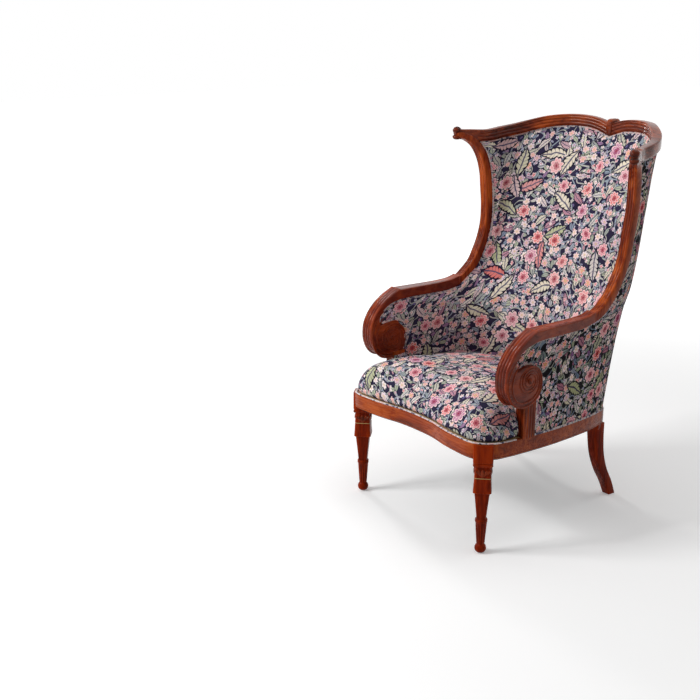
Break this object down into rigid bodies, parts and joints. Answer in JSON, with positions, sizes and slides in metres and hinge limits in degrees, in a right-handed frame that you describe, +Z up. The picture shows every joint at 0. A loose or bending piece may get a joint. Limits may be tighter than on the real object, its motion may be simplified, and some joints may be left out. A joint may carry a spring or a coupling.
{
  "type": "fireside chair",
  "caption": "Fireside wing chair with scrolled show-wood arms, reeded crest, turned front legs, sabre back legs and dark floral upholstery",
  "frame": {"origin": "on the floor under the middle of the whole chair's plan", "axes": "+Z up, +Y from the sitter's front towards the chair's back, +X towards the chair's side that is on the right when seen from the front"},
  "size_m": [0.765, 0.8558, 1.1762],
  "materials": {
    "mahogany": "gloss",
    "beech": "matte",
    "printed_fabric": "matte",
    "jute": "matte",
    "cambric": "matte",
    "steel": "satin"
  },
  "bodies": {
    "root": {"front_leg_right": "mahogany", "front_leg_left": "mahogany", "rear_leg_right": "mahogany", "rear_leg_left": "mahogany", "front_rail": "mahogany", "side_rail_right": "mahogany", "side_rail_left": "mahogany", "back_rail": "mahogany", "front_corner_block_right": "beech", "front_corner_block_left": "beech", "rear_corner_block_right": "beech", "rear_corner_block_left": "beech", "front_corner_screw_right": "steel", "front_corner_screw_left": "steel", "rear_corner_screw_right": "steel", "rear_corner_screw_left": "steel", "arm_right": "mahogany", "arm_left": "mahogany", "arm_post_right": "mahogany", "arm_post_left": "mahogany", "wing_stile_right": "mahogany", "wing_stile_left": "mahogany", "crest_rail_right": "mahogany", "crest_rail_left": "mahogany", "crest_knuckle": "mahogany", "ear_scroll_right": "mahogany", "ear_scroll_left": "mahogany", "arm_stringer_right": "beech", "arm_stringer_left": "beech", "back_stringer": "beech", "seat_webbing": "jute", "seat_spring_1_1": "steel", "seat_spring_2_1": "steel", "seat_spring_3_1": "steel", "seat_spring_1_2": "steel", "seat_spring_2_2": "steel", "seat_spring_3_2": "steel", "seat_spring_1_3": "steel", "seat_spring_2_3": "steel", "seat_spring_3_3": "steel", "seat_hessian": "jute", "dust_cover": "cambric", "seat_pad": "printed_fabric", "seat_welt": "printed_fabric", "inside_back_pad": "printed_fabric", "inside_side_pad_right": "printed_fabric", "inside_side_pad_left": "printed_fabric", "outside_back_cover": "printed_fabric", "outside_side_cover_right": "printed_fabric", "outside_side_cover_left": "printed_fabric"}
  },
  "joints": []
}
